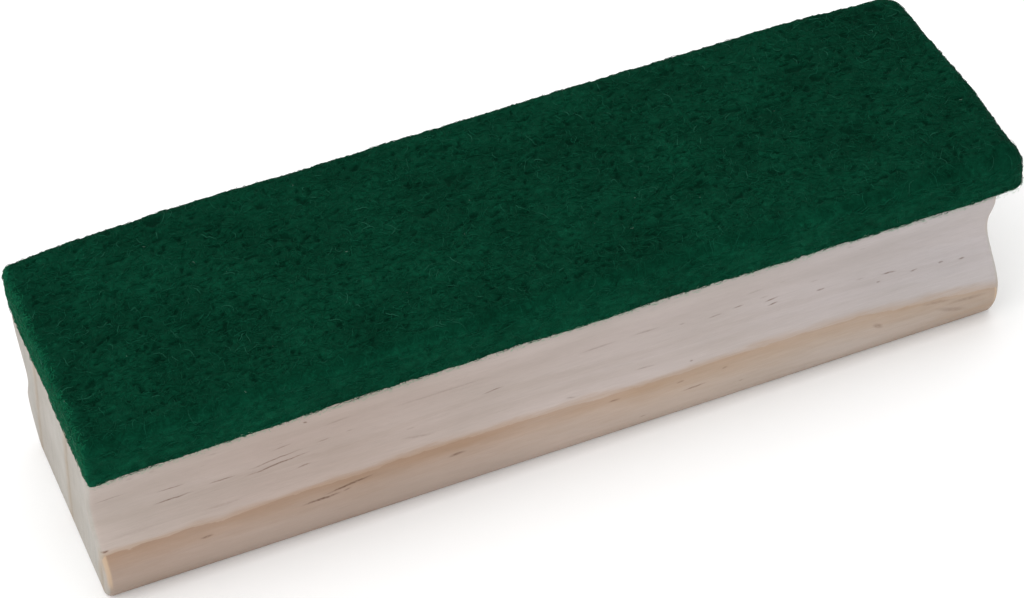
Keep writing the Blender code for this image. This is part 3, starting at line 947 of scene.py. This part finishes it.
def curly(rng, count, length, curl):
    """Flat curly paths centred on 0: arrays (count, points) of two coordinates."""
    points = FIBRE_POINTS
    heading = rng.uniform(0, 2 * math.pi, count)[:, None]
    bend = rng.normal(0, curl, count)[:, None]
    wobble = rng.normal(0, curl * 0.55, (count, points))
    angle = (heading + bend * np.linspace(-0.5, 0.5, points)[None]
             + np.cumsum(wobble, 1) / points * 2.2)
    step = (length / (points - 1))[:, None]
    paths = [np.cumsum(turn(angle) * step, 1) for turn in (np.cos, np.sin)]
    return [path - path.mean(1, keepdims=True) for path in paths]


def top_fibres(rng, count, lift, shortest, longest, left=False):
    """Fibres lying over the top, or only along its left edge; lift and lengths in mm."""
    x = rng.uniform(PLAIN_LEFT, PLAIN_RIGHT, count * 2)
    if left:
        x = PLAIN_LEFT + np.abs(rng.normal(0, 0.55 * MM, count * 2))
    y = rng.uniform(PLAIN_NEAR, PLAIN_FAR, count * 2)
    # the open places stay open
    at = np.stack([x, y, felt_top(x, y)], -1)
    shut = felt_pit(at, bent_place(at)) < 0.12
    x, y = x[shut][:count], y[shut][:count]
    length = rng.uniform(shortest, longest, count) * MM
    shift_x, shift_y = curly(rng, count, length, curl=1.5)
    path_x, path_y = (x[:, None] + shift_x).ravel(), (y[:, None] + shift_y).ravel()
    # keep to the pad: what would stand past the edge lies down over it
    distance = edge_distance(path_x, path_y)
    inward = np.stack(slopes(edge_distance, path_x, path_y, 1e-6), -1)
    inward /= np.maximum(np.linalg.norm(inward, axis=1), 1e-9)[:, None]
    past = np.minimum(distance, 0.0)
    path_x, path_y = path_x - inward[:, 0] * past, path_y - inward[:, 1] * past
    base = np.stack([path_x, path_y, felt_top(path_x, path_y)], -1)
    base[:, 2] += past * 0.8
    normal = top_normal(path_x, path_y)
    share = np.linspace(0, 1, FIBRE_POINTS)[None]
    calm = 0.25 + 0.75 * smooth01(edge_distance(x, y) / (4.0 * MM))
    arch = (rng.uniform(0.0, 1.0, count) ** 3 * lift * calm)[:, None] * np.sin(math.pi * share)
    wobble = rng.normal(0, 0.022, (count, FIBRE_POINTS))
    height = (rng.uniform(-0.07, 0.05, count)[:, None] + arch + wobble) * MM
    points = base + normal * (felt_relief(base) + height.ravel())[:, None]
    return as_cut(points).reshape(count, FIBRE_POINTS, 3)


def straight(x0, y0, x1, y1, out_x, out_y):
    """Length of a straight side, and a function for its points and outward direction."""
    return math.hypot(x1 - x0, y1 - y0), lambda share: (
        x0 + (x1 - x0) * share, y0 + (y1 - y0) * share, out_x, out_y)


def arc(x, y, radius, angle):
    """The same for a quarter circle round (x, y) that starts at an angle."""
    def place(share):
        turn = angle + share * math.pi / 2
        return x + radius * np.cos(turn), y + radius * np.sin(turn), np.cos(turn), np.sin(turn)
    return radius * math.pi / 2, place


def pad_outline():
    """Parts of the plain pad's outline, anticlockwise from the near left corner."""
    x0, x1, y0, y1 = PLAIN_LEFT, PLAIN_RIGHT, PLAIN_NEAR, PLAIN_FAR
    near_left, far_left = CORNERS_LEFT
    near_right, far_right = CORNERS_RIGHT
    return (straight(x0 + near_left, y0, x1 - near_right, y0, 0, -1),
            arc(x1 - near_right, y0 + near_right, near_right, -math.pi / 2),
            straight(x1, y0 + near_right, x1, y1 - far_right, 1, 0),
            arc(x1 - far_right, y1 - far_right, far_right, 0.0),
            straight(x1 - far_right, y1, x0 + far_left, y1, 0, 1),
            arc(x0 + far_left, y1 - far_left, far_left, math.pi / 2),
            straight(x0, y1 - far_left, x0, y0 + near_left, -1, 0),
            arc(x0 + near_left, y0 + near_left, near_left, math.pi))


OUTLINE = pad_outline()
OUTLINE_LENGTH = sum(length for length, _ in OUTLINE)


def outline_at(shares):
    """Rows x, y and outward x, y at shares of the outline's length."""
    at = (shares % 1.0) * OUTLINE_LENGTH
    found = np.zeros((4, len(shares)))
    start = 0.0
    for length, place in OUTLINE:
        here = (at >= start) & (at <= start + length)
        for row, value in zip(found, place((at[here] - start) / length)):
            row[here] = value
        start += length
    return found


def random_shares(rng, count, end):
    """Places along the outline: on the left end, or anywhere else."""
    shares = rng.uniform(0, 1, count * (12 if end else 2))
    on_end = outline_at(shares)[2] < -0.5
    return shares[on_end if end else ~on_end][:count]


def side_fibres(rng, count, lift, end):
    """Fibres lying on the side walls."""
    middle = random_shares(rng, count, end)
    length = rng.uniform(1.0, 3.0, count) * MM
    along, rise = curly(rng, count, length, curl=1.3)
    rise = rise * 0.55                                    # fibres lie along the layers
    x, y, out_x, out_y = outline_at((middle[:, None] + along / OUTLINE_LENGTH).ravel())
    top = felt_top(x, y)
    span = top.reshape(count, FIBRE_POINTS) - FELT_LO[2] + 0.4 * MM
    middle_z = FELT_LO[2] + rng.uniform(0.02, 1.0, count)[:, None] * span
    z = np.maximum((middle_z + rise).ravel(), FELT_LO[2])
    # what reaches above the wall bends over the rolled edge
    radius = FELT_HI[2] - top
    turn = np.clip((z - top) / radius, 0.0, 1.3)
    back = radius * (1 - np.cos(turn))
    z = np.minimum(z, top) + radius * np.sin(turn)
    share = np.linspace(0, 1, FIBRE_POINTS)[None]
    base = np.stack([x - out_x * back, y - out_y * back, z], -1)
    arch = rng.uniform(0.0, 1.0, count)[:, None] ** 3 * lift * np.sin(math.pi * share)
    height = (rng.uniform(-0.08, 0.08, count)[:, None] + arch
              + rng.normal(0, 0.02, (count, FIBRE_POINTS))) * MM
    push = felt_relief(base) * 0.9 + height.ravel() + 0.05 * MM - under_inset(z)
    normal = np.stack([out_x * np.cos(turn), out_y * np.cos(turn), np.sin(turn)], -1)
    points = base + normal * push[:, None]
    points[:, 2] -= SAG_MM * MM * np.clip((top - z) / (top - FELT_LO[2]), 0, 1) ** 3
    return as_cut(points).reshape(count, FIBRE_POINTS, 3)


def fray_fibres(rng, count, end):
    """Short loose ends along the lower cut edge."""
    start = random_shares(rng, count, end)
    length = rng.uniform(0.25, 0.9, count) * MM
    share = np.linspace(0, 1, FIBRE_POINTS)[None]
    slant = rng.normal(0, 0.9, count)[:, None]
    at = start[:, None] + slant * share * length[:, None] / OUTLINE_LENGTH
    x, y, out_x, out_y = outline_at(at.ravel())
    drop = rng.uniform(0.1, 0.75, count)[:, None] * share * length[:, None]
    out = rng.uniform(-0.15, 0.15, count)[:, None] * share * length[:, None]
    out = out.ravel() - 0.22 * MM
    z = FELT_LO[2] - 0.5 * SAG_MM * MM
    z = (z + rng.uniform(0.1, 0.5, count)[:, None] * MM - drop).ravel()
    points = np.stack([x + out_x * out, y + out_y * out, z], -1)
    points += rng.normal(0, 0.015, points.shape) * MM
    return as_cut(points).reshape(count, FIBRE_POINTS, 3)


def fuzz_fibres(rng, count):
    """Fine fuzz hanging off the lower cut edge, in front of the wood."""
    start = random_shares(rng, count, end=False)
    length = rng.uniform(0.15, 0.60, count)[:, None] * MM
    share = np.linspace(0, 1, FUZZ_POINTS)[None]
    at = start[:, None] + rng.normal(0, 0.8, count)[:, None] * share * length / OUTLINE_LENGTH
    x, y, out_x, out_y = outline_at(at.ravel())
    z = FELT_LO[2] - SAG_MM * MM + rng.normal(0.22, 0.20, count)[:, None] * MM
    z = (z - rng.uniform(-0.3, 0.7, count)[:, None] * share * length).ravel()
    out = rng.uniform(-0.02, 0.22, count)[:, None] * MM
    out = (out + rng.uniform(-0.15, 0.20, count)[:, None] * share * length).ravel()
    out += felt_relief(np.stack([x, y, z], -1)) * 0.9
    points = np.stack([x + out_x * out, y + out_y * out, z], -1)
    points += rng.normal(0, 0.012, points.shape) * MM
    return as_cut(points).reshape(count, FUZZ_POINTS, 3)


# name, seed, colour, specular level, radius in mm, and the makers with their settings
FIBRE_PIECES = (
    ("nap_deep", 1001, (0.0018, 0.0390, 0.0188), 0.10, 0.056,
     ((top_fibres, dict(count=5000, lift=0.10, shortest=1.0, longest=2.8)),)),
    ("nap_mid", 1002, (0.0026, 0.0520, 0.0255), 0.15, 0.050,
     ((top_fibres, dict(count=5000, lift=0.16, shortest=0.9, longest=2.8)),)),
    ("nap_light", 1003, (0.0052, 0.0760, 0.0410), 0.25, 0.040,
     ((top_fibres, dict(count=1500, lift=0.30, shortest=0.9, longest=2.6)),
      (side_fibres, dict(count=700, lift=0.20, end=False)))),
    # a lighter copy of the nap: painted light on the cut sides
    ("side_nap_painted_light", 1004, (0.0030, 0.0700, 0.0350), 0.12, 0.048,
     ((side_fibres, dict(count=4000, lift=0.12, end=False)),
      (fray_fibres, dict(count=1100, end=False)))),
    # lighter still: painted light on the left end, where the key light falls
    ("left_end_nap_painted_light", 1005, (0.0058, 0.1200, 0.0540), 0.18, 0.046,
     ((side_fibres, dict(count=900, lift=0.12, end=True)),
      (top_fibres, dict(count=330, lift=0.10, shortest=0.6, longest=1.5, left=True)),
      (fray_fibres, dict(count=220, end=True)))),
    # loose, greyer ends that caught some chalk
    ("loose_nap", 1006, (0.0135, 0.0900, 0.0530), 0.15, 0.062,
     ((top_fibres, dict(count=190, lift=0.25, shortest=1.0, longest=3.0)),)),
    # fine fuzz along the lower cut edge, painted pale as a painted highlight of fibres catching the
    # light
    ("edge_fuzz_painted_highlight", 1007, (0.270, 0.460, 0.320), 0.10, 0.026,
     ((fuzz_fibres, dict(count=4200)),)),
)
LINT_COUNT = 20


def fibre_material(name, colour, specular):
    mat = Shader(name)
    patch = mat.noise(mat.point_mm(), scale=2.5, detail=2.0)
    mat.surface(Base_Color=(*colour, 1.0),
                Roughness=mat.linear(patch, span=(0.3, 0.7), out=(0.55, 0.85)),
                Specular_IOR_Level=specular, Specular_Tint=(0.10, 0.75, 0.45, 1.0))
    return mat.material


def make_lint():
    """A few specks of pale lint just over the top."""
    rng = np.random.default_rng(2024)
    paths = top_fibres(rng, LINT_COUNT, lift=0.1, shortest=0.3, longest=1.0)
    middle = paths.mean(1, keepdims=True)
    shrink = rng.uniform(0.2, 0.7, (LINT_COUNT, 1, 1))
    paths = middle + (paths - middle) * shrink + np.array([0, 0, 0.07 * MM])
    lint = tubes("felt_lint", paths, rng.uniform(0.025, 0.045, LINT_COUNT) * MM)
    lint.data.materials.append(fibre_material("felt_lint", (0.20, 0.27, 0.23), specular=0.2))
    return lint


def make_fibres():
    """The nap: curled fibres lying over the felt, a few of them lifted."""
    made = []
    for name, seed, colour, specular, radius, makers in FIBRE_PIECES:
        rng = np.random.default_rng(seed)
        paths = np.concatenate([maker(rng, **settings) for maker, settings in makers])
        piece = tubes(name, paths, rng.uniform(0.7, 1.2, len(paths)) * radius * MM)
        piece.data.materials.append(fibre_material(name, colour, specular))
        made.append(piece)
    return made + [make_lint()]


# ------------------------------------------------------------------ glue film
GLUE_BOTTOM = WOOD_HI[2] - 0.02 * MM
GLUE_TOP = FELT_LO[2] + 0.06 * MM
GLUE_CORNER = 1.5 * MM
GLUE_AROUND = 720
GLUE_ROWS = 7


def make_glue():
    """Thin film that fills the seam, its edge wandering in and out a little."""
    half_x, half_y = GLUE_HI[0], GLUE_HI[1]
    # even walk round a rectangle, its corners then rounded
    corners = np.array([[half_x, -half_y], [half_x, half_y], [-half_x, half_y],
                        [-half_x, -half_y], [half_x, -half_y]])
    sides = np.linalg.norm(np.diff(corners, axis=0), axis=1)
    reached = np.concatenate([[0], np.cumsum(sides)])
    at = np.linspace(0, reached[-1], GLUE_AROUND, endpoint=False)
    outline = np.stack([np.interp(at, reached, corners[:, k]) for k in range(2)], -1)
    limit = np.array([half_x - GLUE_CORNER, half_y - GLUE_CORNER])
    core = np.clip(outline, -limit, limit)
    out = outline - core
    length = np.linalg.norm(out, axis=1)
    out /= np.maximum(length, 1e-9)[:, None]
    outline = core + out * np.minimum(length, GLUE_CORNER)[:, None]
    wander = fbm3(padded(at / MM * 0.35), octaves=4, seed=201, gain=0.6) * 0.45
    rows = []
    for share, z in zip(np.linspace(0, 1, GLUE_ROWS),
                        np.linspace(GLUE_BOTTOM, GLUE_TOP, GLUE_ROWS)):
        push = (wander + 0.22 * math.sin(math.pi * share)) * MM
        rows.append(np.column_stack([outline + out * push[:, None], np.full(GLUE_AROUND, z)]))
    verts = np.concatenate(rows)
    grid = np.stack(np.meshgrid(np.arange(-half_x + 3 * MM, half_x - 2 * MM, 5 * MM),
                                np.arange(-half_y + 3 * MM, half_y - 2 * MM, 5 * MM)), -1)
    grid = grid.reshape(-1, 2)
    tris = []
    for row, z, sign in ((0, GLUE_BOTTOM, -1.0), (GLUE_ROWS - 1, GLUE_TOP, 1.0)):
        first = len(verts)
        verts = np.concatenate([verts, np.column_stack([grid, np.full(len(grid), z)])])
        tris += cap(verts, row * GLUE_AROUND, GLUE_AROUND, first, axis=2, sign=sign)
    return mesh_from("glue_film", verts, ring_quads(GLUE_ROWS, GLUE_AROUND), tris)


def glue_material():
    mat = Shader("dried_contact_glue")
    xyz = mat.point_mm()
    patch = mat.noise(xyz, scale=0.5, detail=4.0, rough=0.6)
    dark, pale = (0.30, 0.25, 0.15), (0.42, 0.38, 0.28)
    mat.surface(Base_Color=mat.mix(mat.ease(patch, span=(0.3, 0.7)), dark, pale),
                Roughness=mat.linear(patch, span=(0.3, 0.7), out=(0.3, 0.55)),
                Normal=mat.bump(mat.noise(xyz, scale=3.0), distance=0.0001, strength=0.7))
    return mat.material


# ------------------------------------------------------------------ stage
FLOOR_HALF = 3.0
FLOOR_GAP = 0.00005
LIGHT_TARGET = (0, 0, 0.02)
# name, place, size (m), power (W)
SOFTBOXES = (
    ("key_softbox", (-0.55, -0.25, 0.75), (0.7, 0.7), 2.6),
    ("fill_softbox", (0.45, -0.70, 0.55), (0.8, 0.5), 0.5),
    ("top_softbox", (0.05, 0.15, 0.95), (0.9, 0.9), 3.0),
)
CAMERA_PLACE = Vector((-0.13689, -0.43906, 0.44170))
CAMERA_AZIMUTH = math.radians(17.345)
CAMERA_ELEVATION = math.radians(42.728)
CAMERA_ROLL = math.radians(-5.605)
CAMERA_LENS_MM = 139.4859375


def make_floor():
    mesh = bpy.data.meshes.new("floor")
    half, z = FLOOR_HALF, float(WOOD_LO[2]) - FLOOR_GAP
    mesh.from_pydata([(-half, -half, z), (half, -half, z), (half, half, z), (-half, half, z)],
                     [], [(0, 1, 2, 3)])
    floor = bpy.data.objects.new("floor", mesh)
    bpy.context.scene.collection.objects.link(floor)
    mat = Shader("pale_floor")
    # seen by the camera it glows faintly, as an overlit studio sweep does
    seen = mat.new("ShaderNodeLightPath").outputs["Is Camera Ray"]
    mat.surface(Base_Color=(0.88, 0.88, 0.88, 1.0), Roughness=0.9, Specular_IOR_Level=0.1,
                Emission_Color=(1.0, 1.0, 1.0, 1.0), Emission_Strength=mat.mul(seen, 0.12))
    mesh.materials.append(mat.material)


def make_world():
    # the scene may come without a world, or the world without a background
    world = bpy.context.scene.world or bpy.data.worlds.new("studio")
    bpy.context.scene.world = world
    world.use_nodes = True
    nodes = world.node_tree.nodes
    background = nodes.get("Background") or nodes.new("ShaderNodeBackground")
    background.inputs["Color"].default_value = (1.0, 1.0, 1.0, 1.0)
    background.inputs["Strength"].default_value = 0.78


def make_lights():
    for name, place, size, power in SOFTBOXES:
        data = bpy.data.lights.new(name, "AREA")
        data.shape = "RECTANGLE"
        data.size, data.size_y = size
        data.energy = power
        light = bpy.data.objects.new(name, data)
        light.location = place
        light.rotation_mode = "QUATERNION"
        aim = Vector(LIGHT_TARGET) - Vector(place)
        light.rotation_quaternion = aim.to_track_quat("-Z", "Y")
        bpy.context.scene.collection.objects.link(light)


def make_camera():
    """A long lens, looking down from the near left."""
    level = math.cos(CAMERA_ELEVATION)
    back = Vector((-math.sin(CAMERA_AZIMUTH) * level, -math.cos(CAMERA_AZIMUTH) * level,
                   math.sin(CAMERA_ELEVATION)))
    forward = -back
    right = forward.cross(Vector((0, 0, 1))).normalized()
    up = right.cross(forward)
    cos_roll, sin_roll = math.cos(CAMERA_ROLL), math.sin(CAMERA_ROLL)
    axes = (right * cos_roll + up * sin_roll, -right * sin_roll + up * cos_roll, back)
    data = bpy.data.cameras.new("camera")
    data.sensor_width = 36.0
    data.lens = CAMERA_LENS_MM
    data.clip_start, data.clip_end = 0.01, 20.0
    camera = bpy.data.objects.new("camera", data)
    pose = Matrix(axes).transposed().to_4x4()
    pose.translation = CAMERA_PLACE
    camera.matrix_world = pose
    bpy.context.scene.collection.objects.link(camera)
    bpy.context.scene.camera = camera


# ------------------------------------------------------------------ build it
for make, make_material, part, slot in (
        (make_wood, wood_material, "wood_handle", "pine"),
        (make_glue, glue_material, "adhesive_layer", "glue"),
        (make_felt, felt_material, "felt_pad", "felt")):
    piece = make()
    piece.data.materials.append(make_material())
    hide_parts(part)
    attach(piece, "root")

for piece in make_fibres():
    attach(piece, "root")

make_floor()
make_world()
make_lights()
make_camera()
bpy.context.scene.view_settings.view_transform = "Standard"
